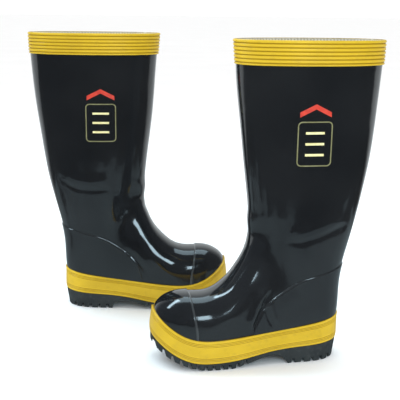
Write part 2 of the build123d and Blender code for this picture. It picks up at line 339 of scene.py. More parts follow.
def relief(points, side):
    """How far the soft rubber stands out of the plain form at each point, in millimetres."""
    x, y, z = points[..., 0], points[..., 1], points[..., 2]
    phase = 0.0 if side == "left" else 2.1
    leg = ease(110, 230, z) * (1 - ease(380, 410, z))
    wave = 0.45 * np.sin(z / 31 + x / 47 + phase) + 0.3 * np.sin(z / 19 - y / 23 + 2 * phase)
    wave += 0.35 * np.sin(x / 26 + z / 71 + phase) * np.sign(y) * ease(0, 15, np.abs(y))
    out = wave * (0.35 + 0.65 * leg) * (1 - ease(395, 410, z)) * ease(45, 75, z)
    vamp = ease(95, 120, x) * (1 - ease(175, 200, x)) * ease(50, 70, z) * (1 - ease(140, 170, z))
    dent = np.sin(x / 7.5 + z / 13 + phase) + np.sin(z / 8 - x / 17 + y / 21 + 2 * phase)
    out = out + 0.3 * dent * vamp
    outer = ease(8, 26, y)
    for line, depth, roll, width in FOLDS[side]:
        away, along = line_distance(line, x, z)
        fade = ease(0, 0.25, along) * (1 - ease(0.75, 1, along)) * outer
        fold = roll * bump(1.7 * width, 1.3 * width, away) - depth * bump(0, 0.55 * width, away)
        out = out + fold * fade
    # shallow rolls across the front of the ankle, where the foot bends
    front = ease(90, 118, x) * (1 - ease(150, 170, x)) * (1 - ease(34, 44, np.abs(y)))
    for middle, height in ((149, 0.9), (171, -0.8), (190, 0.7)):
        out = out + height * bump(middle, 8, z + 0.35 * (x - 125)) * front
    return out


# ---- from the boot's frame to the row frame ----
def to_row(side, points):
    low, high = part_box(side + "_heel_core")
    core = (low + high) / 2
    points = np.asarray(points, float) / 1000
    x = points[..., 0] - CORE_X / 1000
    y = points[..., 1]
    if side == "left":
        turn = radians(180 + LEFT_TOE_IN)
    else:
        turn = 0.0
        y = -y
    return np.stack([
        core.x + cos(turn) * x - sin(turn) * y,
        core.y + sin(turn) * x + cos(turn) * y,
        points[..., 2],
    ], axis=-1)


# ---- meshes ----
def add_piece(side, name, points, faces, materials, cloth_map=None, face_materials=None):
    """A smooth closed mesh that rides on its boot and stands for the CAD node of that name."""
    mesh = bpy.data.meshes.new(f"{side}_{name}_look")
    mesh.from_pydata(to_row(side, points).tolist(), [], faces)
    mesh.validate()
    if cloth_map is not None:
        layer = mesh.uv_layers.new(name="cloth")
        values = np.array([uv for face in cloth_map for uv in face], np.float32)
        layer.data.foreach_set("uv", values.ravel())
    for material in materials:
        mesh.materials.append(material)
    if face_materials is not None:
        mesh.polygons.foreach_set("material_index", face_materials)
    work = bmesh.new()
    work.from_mesh(mesh)
    bmesh.ops.recalc_face_normals(work, faces=work.faces)
    work.to_mesh(mesh)
    work.free()
    mesh.shade_smooth()
    mesh.set_sharp_from_angle(angle=radians(50))
    piece = bpy.data.objects.new(f"{side}_{name}_look", mesh)
    bpy.context.scene.collection.objects.link(piece)
    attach(piece, side + "_boot")
    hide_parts(f"{side}_{name}")
    return piece


def store(piece, name, values):
    """Keep a number at each point of a piece, for its material to read."""
    attribute = piece.data.attributes.new(name, "FLOAT", "POINT")
    attribute.data.foreach_set("value", np.asarray(values, np.float32).ravel())


def shell_faces(rows, columns, wrap):
    """Faces of a closed shell between two grids of the same size, the second after the first."""
    faces = []
    last = columns if wrap else columns - 1
    second = rows * columns
    for i in range(rows - 1):
        for j in range(last):
            k = (j + 1) % columns
            a, b, c, d = i * columns + j, i * columns + k, (i + 1) * columns + k, (i + 1) * columns + j
            faces.append((a, b, c, d))
            faces.append((second + d, second + c, second + b, second + a))
    for j in range(last):
        k = (j + 1) % columns
        end = (rows - 1) * columns
        faces.append((k, j, second + j, second + k))
        faces.append((end + j, end + k, second + end + k, second + end + j))
    if not wrap:
        for i in range(rows - 1):
            a, b = i * columns, (i + 1) * columns
            faces.append((a, b, second + b, second + a))
            a, b = a + columns - 1, b + columns - 1
            faces.append((b, a, second + a, second + b))
    return faces


def shell(outer, inner, wrap):
    rows, columns = outer.shape[:2]
    points = np.concatenate([outer.reshape(-1, 3), inner.reshape(-1, 3)])
    return points, shell_faces(rows, columns, wrap)


# ---- materials ----
def new_material(name, roughness, **sockets):
    material = bpy.data.materials.new(name)
    material.use_nodes = True
    shader = material.node_tree.nodes["Principled BSDF"]
    shader.inputs["Roughness"].default_value = roughness
    for socket, value in sockets.items():
        shader.inputs[socket.replace("_", " ")].default_value = value
    return material, material.node_tree, shader


def add_node(tree, kind, **settings):
    node = tree.nodes.new(kind)
    for name, value in settings.items():
        if hasattr(node, name):
            setattr(node, name, value)
        else:
            node.inputs[name.replace("_", " ")].default_value = value
    return node


def noise(tree, scale, detail=4.0, stretch=(1, 1, 1)):
    """A noise pattern fixed to the object, so that it moves with it."""
    place = add_node(tree, "ShaderNodeTexCoord")
    mapping = add_node(tree, "ShaderNodeMapping")
    mapping.inputs["Scale"].default_value = stretch
    texture = add_node(tree, "ShaderNodeTexNoise", Scale=scale, Detail=detail)
    tree.links.new(place.outputs["Object"], mapping.inputs["Vector"])
    tree.links.new(mapping.outputs["Vector"], texture.inputs["Vector"])
    return texture.outputs["Fac"]


def ramp(tree, value, stops):
    """A colour ramp over a value: stops are (place, colour or grey)."""
    node = add_node(tree, "ShaderNodeValToRGB")
    elements = node.color_ramp.elements
    while len(elements) < len(stops):
        elements.new(0.5)
    for element, (place, colour) in zip(elements, stops):
        element.position = place
        grey = isinstance(colour, (int, float))
        element.color = (colour, colour, colour, 1) if grey else (*colour, 1)
    tree.links.new(value, node.inputs["Fac"])
    return node.outputs["Color"]


def mix(tree, share, first, second):
    node = add_node(tree, "ShaderNodeMix", data_type="RGBA")
    tree.links.new(share, node.inputs["Factor"])
    for socket, value in ((node.inputs["A"], first), (node.inputs["B"], second)):
        if isinstance(value, tuple):
            socket.default_value = (*value, 1)
        else:
            tree.links.new(value, socket)
    return node.outputs["Result"]


def add_bump(tree, shader, heights):
    """Stacks bumps: heights are (value, strength, distance in metres)."""
    normal = None
    for value, strength, distance in heights:
        node = add_node(tree, "ShaderNodeBump", Strength=strength, Distance=distance)
        tree.links.new(value, node.inputs["Height"])
        if normal is not None:
            tree.links.new(normal, node.inputs["Normal"])
        normal = node.outputs["Normal"]
    tree.links.new(normal, shader.inputs["Normal"])


def finish_look(tree, shader, colour, gloss, bumps):
    tree.links.new(colour, shader.inputs["Base Color"])
    tree.links.new(gloss, shader.inputs["Roughness"])
    add_bump(tree, shader, bumps)


def black_rubber():
    """Glossy dipped rubber: nearly black, with uneven gloss and a faint skin of dust."""
    material, tree, shader = new_material("black_rubber_look", 0.15, Coat_Weight=0.35, Coat_Roughness=0.03)
    colour = ramp(tree, noise(tree, 9, 6), [(0.3, (0.0065, 0.0075, 0.009)), (0.7, (0.013, 0.014, 0.0155))])
    specks = ramp(tree, noise(tree, 900, 2), [(0.7, 0.0), (0.78, 0.35)])
    colour = mix(tree, specks, colour, (0.05, 0.052, 0.054))
    # painted highlight, with dust: a lighter grey wherever a piece marks its bevelled edge
    edge_highlight_and_dust = add_node(tree, "ShaderNodeAttribute", attribute_name="edge_highlight_and_dust")
    colour = mix(tree, edge_highlight_and_dust.outputs["Fac"], colour, (0.085, 0.092, 0.095))
    gloss = ramp(tree, noise(tree, 14, 5), [(0.35, 0.08), (0.7, 0.17)])
    bumps = [(noise(tree, 13, 3), 0.5, 0.0035), (noise(tree, 420, 3), 0.12, 0.0002)]
    finish_look(tree, shader, colour, gloss, bumps)
    return material


def yellow_rubber():
    """Satin yellow rubber, a little uneven, with painted shade darkening its grooves."""
    material, tree, shader = new_material("yellow_rubber_look", 0.4, Specular_IOR_Level=0.3)
    colour = ramp(tree, noise(tree, 16, 6), [(0.3, (0.56, 0.36, 0.012)), (0.7, (0.7, 0.46, 0.02))])
    grime = ramp(tree, noise(tree, 120, 5), [(0.56, 0.0), (0.75, 0.3)])
    colour = mix(tree, grime, colour, (0.4, 0.26, 0.025))
    # painted shade: darker where a piece marks its grooves and edges
    groove = add_node(tree, "ShaderNodeAttribute", attribute_name="groove")
    colour = mix(tree, groove.outputs["Fac"], colour, (0.3, 0.17, 0.006))
    gloss = ramp(tree, noise(tree, 40, 4), [(0.3, 0.28), (0.7, 0.45)])
    bumps = [(noise(tree, 60, 4), 0.15, 0.0006), (noise(tree, 700, 3), 0.15, 0.00015)]
    finish_look(tree, shader, colour, gloss, bumps)
    return material


def sole_rubber():
    """Matte moulded rubber, dusty where it meets the floor."""
    material, tree, shader = new_material("sole_rubber_look", 0.6)
    colour = ramp(tree, noise(tree, 22, 6), [(0.3, (0.014, 0.018, 0.019)), (0.7, (0.028, 0.033, 0.034))])
    dust = ramp(tree, noise(tree, 210, 5), [(0.55, 0.0), (0.75, 0.4)])
    colour = mix(tree, dust, colour, (0.075, 0.08, 0.077))
    gloss = ramp(tree, noise(tree, 70, 4), [(0.3, 0.48), (0.7, 0.78)])
    finish_look(tree, shader, colour, gloss, [(noise(tree, 260, 5), 0.35, 0.0004)])
    return material


def one_pattern(name, roughness, pattern, colours, gloss, height, **sockets):
    """A material whose colour, gloss and bump all follow one noise pattern.

    pattern is what noise() takes, colours and gloss are the stops of ramps, and height is the
    bump's strength and distance.
    """
    material, tree, shader = new_material(name, roughness, **sockets)
    value = noise(tree, *pattern)
    finish_look(tree, shader, ramp(tree, value, colours), ramp(tree, value, gloss), [(value, *height)])
    return material


def steel():
    colours = [(0.3, (0.40, 0.41, 0.43)), (0.7, (0.6, 0.61, 0.62))]
    gloss = [(0.3, 0.22), (0.7, 0.42)]
    streaks = (60, 5, (1, 18, 1))
    return one_pattern("steel_look", 0.32, streaks, colours, gloss, (0.15, 0.0002), Metallic=1.0)


def fibre_board():
    colours = [(0.3, (0.22, 0.14, 0.075)), (0.7, (0.42, 0.3, 0.18))]
    gloss = [(0.3, 0.75), (0.7, 0.95)]
    fibres = (150, 8, (1, 3.5, 1))
    return one_pattern("fibre_board_look", 0.85, fibres, colours, gloss, (0.4, 0.0004))


def soft_rubber():
    colours = [(0.35, (0.03, 0.03, 0.032)), (0.7, (0.085, 0.083, 0.08))]
    gloss = [(0.3, 0.6), (0.7, 0.85)]
    pores = (380, 6)
    return one_pattern("soft_rubber_look", 0.7, pores, colours, gloss, (0.4, 0.0003))


def woven(name, dark, light, threads, sheen):
    """Cloth with threads that cross: threads is their number in each metre of the cloth map."""
    material, tree, shader = new_material(name, 0.9, Sheen_Weight=sheen, Sheen_Roughness=0.5)
    place = add_node(tree, "ShaderNodeUVMap", uv_map="cloth")
    waves = []
    for direction in ("X", "Y"):
        wave = add_node(tree, "ShaderNodeTexWave", bands_direction=direction)
        wave.inputs["Scale"].default_value = threads / 20
        wave.inputs["Distortion"].default_value = 0.6
        wave.inputs["Detail Scale"].default_value = 1.5
        tree.links.new(place.outputs["UV"], wave.inputs["Vector"])
        waves.append(wave.outputs["Fac"])
    weave = add_node(tree, "ShaderNodeMath", operation="MULTIPLY")
    tree.links.new(waves[0], weave.inputs[0])
    tree.links.new(waves[1], weave.inputs[1])
    colour = mix(tree, weave.outputs["Value"], dark, light)
    stain = ramp(tree, noise(tree, 18, 5), [(0.45, 0.0), (0.75, 0.35)])
    colour = mix(tree, stain, colour, tuple(0.55 * channel for channel in dark))
    gloss = ramp(tree, weave.outputs["Value"], [(0, 0.95), (1, 0.8)])
    bumps = [(noise(tree, 300, 4), 0.2, 0.0005), (weave.outputs["Value"], 0.6, 0.0006)]
    finish_look(tree, shader, colour, gloss, bumps)
    return material


def felt():
    colours = [(0.3, (0.12, 0.125, 0.135)), (0.7, (0.27, 0.28, 0.3))]
    gloss = [(0.3, 0.85), (0.7, 1.0)]
    fuzz = (240, 8)
    return one_pattern("footbed_felt_look", 0.95, fuzz, colours, gloss, (0.6, 0.0008),
                       Sheen_Weight=0.5, Sheen_Roughness=0.4)


def ink(name, dark, light):
    """Printed transfer colour, with slight wear."""
    material, tree, shader = new_material(name, 0.4)
    colour = ramp(tree, noise(tree, 200, 5), [(0.3, dark), (0.7, light)])
    gloss = ramp(tree, noise(tree, 90, 3), [(0.3, 0.3), (0.7, 0.5)])
    finish_look(tree, shader, colour, gloss, [(noise(tree, 500, 3), 0.2, 0.0001)])
    return material


BLACK = black_rubber()
YELLOW = yellow_rubber()
SOLE = sole_rubber()
LINING_CLOTH = woven("lining_cloth_look", (0.38, 0.33, 0.25), (0.66, 0.61, 0.52), 900, 0.3)
TAPE_CLOTH = woven("collar_cloth_look", (0.42, 0.38, 0.3), (0.74, 0.7, 0.6), 1400, 0.3)
FELT = felt()
INKS = {
    "frame": ink("badge_khaki_look", (0.16, 0.15, 0.06), (0.25, 0.24, 0.11)),
    "red": ink("badge_red_look", (0.5, 0.025, 0.012), (0.72, 0.05, 0.02)),
    "cream": ink("badge_cream_look", (0.72, 0.62, 0.25), (0.88, 0.82, 0.45)),
}
# CAD nodes that stay as they are and only get a material
CARRIED_OVER = [
    (steel(), ("midsole_plate", "toe_cap", "shank")),
    (fibre_board(), ("insole_board", "heel_counter")),
    (soft_rubber(), ("toe_cap_bead", "heel_core")),
]


# ---- the rubber skin of leg and foot ----
def skin(side, places, angles, offset, wrap):
    """Points of the outer skin with its folds, offset outward by millimetres."""
    plain = form(OUTER_ROWS, places, angles)
    height = relief(plain, side) + offset
    return plain + normals(plain, wrap) * height[..., None]


def upper(side):
    """Leg and foot in one piece, open at the top."""
    rings, columns = 300, 220
    places = np.concatenate([np.linspace(0, RIM - 4, rings), RIM - np.array([3, 2.2, 1.5, 0.9, 0.4])])
    angles = even_angles(OUTER_ROWS, places, np.arange(columns) / columns)
    outer = skin(side, places[:, None], angles, 0, True)
    inner_rows = station_rows(RUBBER)
    inner = form(inner_rows, places[:, None], angles)
    rim_round = np.array([0, 0.02, 0.1, 0.3, 0.7])
    outer[-5:] += (inner[-5:] - outer[-5:]) * (0.45 * rim_round / 0.7)[:, None, None]
    inner[-5:] += (outer[-5:] - inner[-5:]) * (0.45 * rim_round / 0.7)[:, None, None]
    points, faces = shell(outer, inner, True)
    # at the very tip of the toe, a plain face on each grid instead of a wall between them
    outer_tip = range(columns)
    inner_tip = range(len(outer) * columns, len(outer) * columns + columns)
    tips = set(outer_tip) | set(inner_tip)
    faces = [face for face in faces if not set(face) <= tips]
    faces += [tuple(outer_tip), tuple(inner_tip)]
    return add_piece(side, "upper_rubber", points, faces, [BLACK])


def edge_columns(count, bevel):
    """Places from 0 to 1, closer together at both ends."""
    middle = np.linspace(bevel, 1 - bevel, count)
    ends = bevel * np.array([0, 0.06, 0.16, 0.3, 0.48, 0.7, 0.87])
    return np.concatenate([ends, middle, 1 - ends[::-1]])


def shoulder(share):
    """Height of a rounded edge, from 0 at its foot to 1 at share 1 and beyond."""
    return np.sqrt(np.clip(1 - (1 - share).clip(0, 1) ** 2.2, 0, 1))


def fall_off(share):
    """How far a quarter-round edge has dropped: 0 up to share 0, and 1 at share 1."""
    return 1 - np.sqrt(np.clip(1 - share.clip(0) ** 2, 0, 1))


def toe_overlay(side):
    """Second layer of rubber over the toe, with a bevelled edge."""
    columns = 200
    angles = np.linspace(0, 2 * pi, columns, endpoint=False)
    low = np.zeros(columns)
    high = np.full(columns, KNOTS[6])
    for _ in range(40):
        middle = (low + high) / 2
        point = form(OUTER_ROWS, middle, angles)
        behind = point[:, 0] < curve(TOE_SEAM, np.clip(point[:, 2], 10, 120))
        high = np.where(behind, middle, high)
        low = np.where(behind, low, middle)
    edge = (low + high) / 2
    bevel = OVERLAY_BEVEL / edge.mean()
    ends = np.array([0.85, 0.7, 0.5, 0.35, 0.2, 0.1, 0.03, 0])
    shares = np.concatenate([np.linspace(0.02, 1 - bevel, 70), 1 - bevel * ends])
    places = shares[:, None] * edge[None, :]
    away = (1 - shares) / bevel
    rise = shoulder(away)
    bead = 0.35 * bump(0.6, 0.4, away)
    outer = skin(side, places, angles[None, :], (OVERLAY * (0.02 + 0.98 * rise) + bead)[:, None], True)
    inner = skin(side, places, angles[None, :], 0.0, True)
    points, faces = shell(outer, inner, True)
    piece = add_piece(side, "toe_overlay", points, faces, [BLACK])
    # painted highlight, with dust, in a band along the bevelled edge
    edge_highlight_and_dust = 0.45 * ease(0.95, 0.5, away)
    store(piece, "edge_highlight_and_dust", np.tile(np.repeat(edge_highlight_and_dust, columns), 2))
    return piece


def heel_overlay(side):
    """Second layer of rubber round the heel: from the seam on one side round to the other."""
    seam_z, seam_x = np.array(HEEL_SEAM, float)[:, 1], np.array(HEEL_SEAM, float)[:, 0]
    share = np.linspace(0, 1, len(HEEL_SEAM))
    fine = np.linspace(0, 1, 160)
    x = spline(share, seam_x, fine)
    z = spline(share, seam_z, fine)
    inside = x > OUTER_ROWS[12, 0] + 2
    x, z = x[inside], z[inside]
    place = place_at(OUTER_ROWS, x, z, KNOTS[5])
    angle = side_angle(OUTER_ROWS, place, x, z)
    places = np.linspace(place.min(), place.max(), 260)
    order = np.argsort(place)
    seam_angle = np.interp(places, place[order], angle[order])
    columns = edge_columns(130, 0.025)
    angles = even_angles(OUTER_ROWS, places, columns, seam_angle, 2 * pi - seam_angle)
    away = np.minimum(columns, 1 - columns) / 0.025
    rise = shoulder(away)
    top_rise = np.sqrt(ease(0, 4, np.arange(len(places))[::-1]))
    bead = 0.12 * bump(0.6, 0.4, away)
    height = OVERLAY * 0.02 + (OVERLAY * 0.98 * rise + bead)[None, :] * top_rise[:, None]
    outer = skin(side, places[:, None], angles, height, False)
    inner = skin(side, places[:, None], angles, -0.2, False)
    points, faces = shell(outer, inner, False)
    piece = add_piece(side, "heel_overlay", points, faces, [BLACK])
    # painted highlight, with dust, in a faint band along both bevelled edges
    edge_highlight_and_dust = 0.12 * ease(0.95, 0.5, away)
    store(piece, "edge_highlight_and_dust", np.tile(edge_highlight_and_dust, 2 * len(places)))
    return piece


# ---- yellow parts ----
def outline_loop(count):
    """The plan outline as evenly spaced points, with the way out at each."""
    ring = np.array(OUTLINE + OUTLINE[:1], float)
    around = np.concatenate([ring[-4:-1], ring, ring[1:4]])
    steps = np.hypot(*np.diff(around, axis=0).T)
    knots = np.concatenate(([0], np.cumsum(steps)))
    start, end = knots[3], knots[-4]
    fine = spline(knots, around, np.linspace(start, end, 4001))
    run = np.concatenate(([0], np.cumsum(np.hypot(*np.diff(fine, axis=0).T))))
    at = np.linspace(0, run[-1], count, endpoint=False)
    loop = np.stack([np.interp(at, run, fine[:, 0]), np.interp(at, run, fine[:, 1])], axis=1)
    along = np.roll(loop, -1, axis=0) - np.roll(loop, 1, axis=0)
    along /= np.linalg.norm(along, axis=1, keepdims=True)
    return loop, np.stack([-along[:, 1], along[:, 0]], axis=1)


def gaps_to_skin(loop, out, heights, tree):
    """How far inward of the outline the skin lies, at each point and height."""
    outside, reach, if_missed = 12, 60, 14
    gaps = np.zeros((len(heights), len(loop)))
    for i, row in enumerate(heights):
        for j, ((x, y), (nx, ny)) in enumerate(zip(loop, out)):
            start = Vector((x + outside * nx, y + outside * ny, row[j]))
            hit = tree.ray_cast(start, Vector((-nx, -ny, 0)), reach)
            gaps[i, j] = hit[3] - outside if hit[0] is not None else if_missed
    return gaps


def foxing_strip(side):
    """The yellow strip round the foot: lips at both edges, fine lines between."""
    count = 520
    loop, out = outline_loop(count)
    top = curve(FOXING_TOP, loop[:, 0])
    bottom = curve(FOXING_BOTTOM, loop[:, 0])
    rings, columns = 240, 160
    places = np.linspace(0, KNOTS[12], rings)
    angles = even_angles(OUTER_ROWS, places, np.arange(columns) / columns)
    base = skin(side, places[:, None], angles, 0, True)
    both = shell_faces(rings, columns, True)
    faces = [tuple(reversed(face)) for face in both if max(face) < rings * columns]
    tree = BVHTree.FromPolygons(base.reshape(-1, 3).tolist(), faces)
    levels = np.array([0, 0.25, 0.5, 0.75, 1.0])
    heights = bottom + levels[:, None] * (top - bottom)
    gaps = gaps_to_skin(loop, out, heights, tree)
    kernel = np.ones(9) / 9
    looped = [np.concatenate([row[-4:], row, row[:4]]) for row in gaps]
    gaps = np.array([np.convolve(row, kernel, mode="valid") for row in looped])
    runs = ((0, 0.06, 8), (0.07, 0.3, 34), (0.32, 0.66, 30), (0.67, 0.93, 38), (0.94, 1, 8))
    share = np.concatenate([np.linspace(*run) for run in runs])
    thick = 2.6
    gap_at = np.array([np.interp(share, levels, column) for column in gaps.T]).T
    lean = np.maximum(gaps[-1] - thick, 0) * (1 - 0.35 * ease(0, 12, gaps[-1]))
    wall = -lean[None, :] * (np.clip((share - 0.25) / 0.75, 0, 1) ** 1.5)[:, None]
    wall = np.maximum(wall, thick * 0.8 - gap_at)
    wall = wall - 0.9 * ((0.18 - share).clip(0) / 0.18)[:, None] ** 2 * 2
    lip = 0.55 * ease(0.93, 0.95, share) + 0.45 * (1 - ease(0.045, 0.065, share))
    grooves = np.zeros(len(share))
    for middle in (0.75, 0.81, 0.87, 0.13, 0.19, 0.25):
        grooves += bump(middle, 0.011, share)
    for middle in np.linspace(0.31, 0.69, 11):
        grooves += 0.28 * bump(middle, 0.008, share)
    edge = 1.3 * fall_off((share - 0.965) / 0.035) + 1.0 * fall_off((0.025 - share) / 0.025)
    wall = wall + (lip - 0.55 * grooves - edge)[:, None]
    z = bottom + share[:, None] * (top - bottom)
    outer = np.stack([loop[:, 0] + wall * out[:, 0], loop[:, 1] + wall * out[:, 1], z], axis=-1)
    inner_wall = -gap_at - 0.6
    inner = np.stack([loop[:, 0] + inner_wall * out[:, 0], loop[:, 1] + inner_wall * out[:, 1],
                      z - 0.25 * share[:, None]], axis=-1)
    points, faces = shell(outer, inner, True)
    piece = add_piece(side, "foxing_strip", points, faces, [YELLOW])
    # painted shade: darker in the grooves, at both edges where the strip meets the upper and the sole, and
    # over the whole hidden inner face
    groove_shade = np.clip(grooves, 0, 1)[:, None] + np.zeros_like(wall)
    edge_shade = (0.8 * (share > 0.992) + 0.5 * (share < 0.01))[:, None]
    shown = (groove_shade + edge_shade).clip(0, 1).ravel()
    store(piece, "groove", np.concatenate([shown, np.ones(inner[..., 0].size)]))
    return piece


def top_band(side):
    """The ribbed yellow band, rolled over the rim."""
    columns = 240
    low = BOOT_HEIGHT - BAND_HEIGHT
    height = np.concatenate([[0, 0.3, 0.8, 1.4], np.linspace(2, BAND_HEIGHT - 2.2, 110),
                             BAND_HEIGHT - np.array([1.7, 1.2, 0.7, 0.35, 0.12, 0])])
    proud = np.full(len(height), 1.9)
    from_top = BAND_HEIGHT - height
    groove = np.zeros(len(height))
    for index in range(BAND_GROOVES):
        groove += bump(4.2 + index * BAND_PITCH, 0.75, from_top)
    crown = 0.35 * np.abs(np.sin(pi * (from_top - 4.2) / BAND_PITCH)) ** 0.7
    proud = proud + crown - 1.05 * groove
    proud -= 1.5 * fall_off((1.4 - height) / 1.4)
    proud -= 1.5 * fall_off((height - BAND_HEIGHT + 2) / 2)
    plain, out, angles = level_rings(OUTER_ROWS, low + height, columns)
    wobble = 0.25 * np.sin(3 * angles + 1.3) * ease(10, 34, height)[:, None]
    outer = plain + out * (proud[:, None] + wobble)[..., None]
    inner = plain + out * -0.05
    points, faces = shell(outer, inner, True)
    piece = add_piece(side, "top_band", points, faces, [YELLOW])
    # painted shade in the grooves between the ribs
    groove_shade = np.clip(groove * 0.9, 0, 1)[:, None] + np.zeros(plain.shape[:2])
    store(piece, "groove", np.concatenate([groove_shade.ravel(), np.zeros(inner[..., 0].size)]))
    return piece


# ---- sole ----
def groove(middle, at):
    """1 inside a groove of the tread round middle, 0 outside, with rounded shoulders."""
    half = LUG_GAP / 2
    return 1 - ease(half - 0.6, half + 0.6, np.abs(np.asarray(at, float) - middle))


def groove_places(middle):
    """Where a groove's two rounded shoulders need points."""
    steps = (-0.8, -0.45, -0.15, 0.15, 0.45, 0.8)
    return [middle + share * LUG_GAP / 2 + step for share in (-1, 1) for step in steps]


def spaced(first, last, spacing):
    return [first + index * spacing for index in range(round((last - first) / spacing) + 1)]


def tread_height(x):
    """Height of the untouched underside, from the heel to the toe."""
    waist = curve(WAIST, x)
    front = curve(TREAD_RISE, x)
    height = np.where(x < WAIST[0][0], WAIST[0][1] * ease(HEEL_FRONT - 0.5, WAIST[0][0], x), waist)
    height = np.where(x > TREAD_RISE[0][0], front, height)
    return np.where((x > TREAD_RISE[0][0]) & (x < TREAD_RISE[1][0]), 0.0, np.maximum(height, 0))


def outline_sides(x, inset):
    """The inner and the outer side of the plan outline at each x."""
    loop, out = outline_loop(OUTLINE_POINTS)
    loop = loop - inset * out
    tip = int(np.argmax(loop[:, 0]))
    heel = int(np.argmin(loop[:, 0]))
    loop = np.roll(loop, -heel, axis=0)
    tip = (tip - heel) % len(loop)
    outer_side = loop[:tip + 1]
    inner_side = loop[tip:][::-1]
    return tuple(np.interp(x, edge[:, 0], edge[:, 1]) for edge in (inner_side, outer_side))


def outsole(side):
    """Sole with heel and lugs: a grid over the plan outline, its underside raised in the grooves."""
    inset = 1.2
    loop, _ = outline_loop(OUTLINE_POINTS)
    first, last = loop[:, 0].min() + inset, loop[:, 0].max() - inset
    swing = (1 - np.cos(np.linspace(0, pi / 2, 26))) * 14
    xs = list(first + swing) + list(last - swing) + list(np.arange(first + 16, last - 16, 2.6))
    across = spaced(*FRONT_LUGS) + spaced(*HEEL_LUGS)
    for middle in across:
        xs += groove_places(middle)
    xs += [HEEL_FRONT + step for step in (-1, -0.4, 0, 0.4, 0.9, 1.5, 2.2, 3)]
    xs = np.unique(np.round(xs, 2))
    xs = xs[(xs >= first) & (xs <= last)]
    low, high = outline_sides(xs, inset)
    x = xs[:, None]
    crosswise = np.zeros(x.shape)
    for middle in across:
        crosswise = np.maximum(crosswise, groove(middle, x))
    # columns from the inner edge to the outer: the first and last ring stay on the plain wall
    notch = NOTCH * crosswise
    edge = np.array([0, 0.25, 0.7, 1.3])
    lines = sorted(y for row in LUG_ROWS for y in groove_places(row))
    inside = np.sort(np.concatenate([lines, [-37, -30, -22, -9, -3, 3, 9, 22, 30, 37]]))
    near, far = low[:, None] + notch + 1.4, high[:, None] - notch - 1.4
    ys = np.concatenate([low[:, None], low[:, None] + notch + edge,
                         np.clip(inside[None, :], near, np.maximum(far, near)),
                         high[:, None] - notch - edge[::-1], high[:, None]], axis=1)
    ys = np.sort(np.clip(ys, low[:, None], np.maximum(high, low + 0.001)[:, None]), axis=1)
    lengthwise = np.maximum(groove(LUG_ROWS[0], ys), groove(LUG_ROWS[1], ys))
    cut = np.maximum(crosswise, lengthwise * ease(FRONT_LUGS[0] - 1, FRONT_LUGS[0] + 1, x))
    border = np.minimum(ys - low[:, None], high[:, None] - ys) - notch
    tips = np.minimum(x - first, last - x)
    bevel = 0.9 * (1 - ease(0, 1.0, np.minimum(border, tips)))
    roof = curve(FOXING_BOTTOM, x) - 0.1
    z = np.minimum(tread_height(x) + LUG_DEPTH * cut + bevel, roof - 0.5)
    ring = np.minimum(tread_height(x) + LUG_DEPTH + 2, roof - 0.4)
    z[:, :1] = ring
    z[:, -1:] = ring
    lean = 4 * np.clip(1 - x / 34, 0, 1) * (1 - ease(0, 20, z))
    wide = x + np.zeros(ys.shape)
    under = np.stack([wide + lean, ys, z], axis=-1)
    top = np.stack([wide, ys, roof + np.zeros(ys.shape)], axis=-1)
    points, faces = shell(under, top, False)
    piece = add_piece(side, "outsole", points, faces, [SOLE])
    return piece


# ---- inside of the boot ----
def cloth_values(rows, columns, width, height):
    """Cloth-map corners for shell_faces of a closed ring, in metres of cloth."""
    corners = []

    def spot(i, j):
        return (j / columns * width, i / (rows - 1) * height)

    for i in range(rows - 1):
        for j in range(columns):
            ring = [spot(i, j), spot(i, j + 1), spot(i + 1, j + 1), spot(i + 1, j)]
            corners.append(ring)
            corners.append(ring[::-1])
    for j in range(columns):
        corners.append([spot(0, j + 1), spot(0, j), spot(0, j), spot(0, j + 1)])
        corners.append([spot(rows - 1, j), spot(rows - 1, j + 1), spot(rows - 1, j + 1), spot(rows - 1, j)])
    return corners


def lining(side):
    """The cloth lining, from the toe up to the rim, slightly creased inside."""
    rings, columns = 170, 168
    outer_rows = station_rows(RUBBER + LINING_GAP, **LINING_ROOM)
    inner_rows = station_rows(RUBBER + LINING_GAP + LINING, **LINING_ROOM)
    places = np.concatenate([np.linspace(0, RIM - 3, rings), RIM - np.array([2, 1.2, 0.6])])
    angles = even_angles(outer_rows, places, np.arange(columns) / columns)
    outer = form(outer_rows, places[:, None], angles)
    inner = form(inner_rows, places[:, None], angles)
    x, y, z = inner[..., 0], inner[..., 1], inner[..., 2]
    crease = 0.35 * np.sin(z / 5.5 + x / 17) * bump(175, 45, z)
    crease += 0.2 * np.sin(z / 9 + y / 8) * ease(60, 90, z)
    inner = inner - normals(inner, True) * (0.25 + crease)[..., None]
    inner[-3:] += (outer[-3:] - inner[-3:]) * np.array([0.05, 0.15, 0.32])[:, None, None]
    points, faces = shell(outer, inner, True)
    piece = add_piece(side, "lining", points, faces, [LINING_CLOTH],
                      cloth_values(len(places), columns, 0.45, RIM / 1000))
    return piece


def collar_tape(side):
    """Woven tape inside the rim, held by two rows of stitches."""
    columns = 480
    rows = station_rows(RUBBER + LINING_GAP + LINING + 0.6, **LINING_ROOM)
    height = np.linspace(0, TAPE_HEIGHT - 0.8, 60)
    plain, out, _ = level_rings(rows, BOOT_HEIGHT - TAPE_HEIGHT + height, columns)
    around = np.arange(columns)[None, :] / columns
    stitch = np.abs(np.sin(pi * around * 96)) ** 0.5
    rows_of_stitches = bump(3.0, 0.55, height) + bump(TAPE_HEIGHT - 4, 0.55, height)
    thick = 0.55 + 0.4 * rows_of_stitches[:, None] * stitch - 0.2 * rows_of_stitches[:, None] * (1 - stitch)
    edge = np.minimum(height, height[-1] - height)
    thick = thick * np.sqrt(ease(-0.3, 0.8, edge))[:, None]
    inner = plain - out * thick[..., None]
    outer = plain + out * 0.3
    points, faces = shell(outer, inner, True)
    piece = add_piece(side, "collar_tape", points, faces, [TAPE_CLOTH],
                      cloth_values(len(height), columns, 0.45, TAPE_HEIGHT / 1000))
    return piece


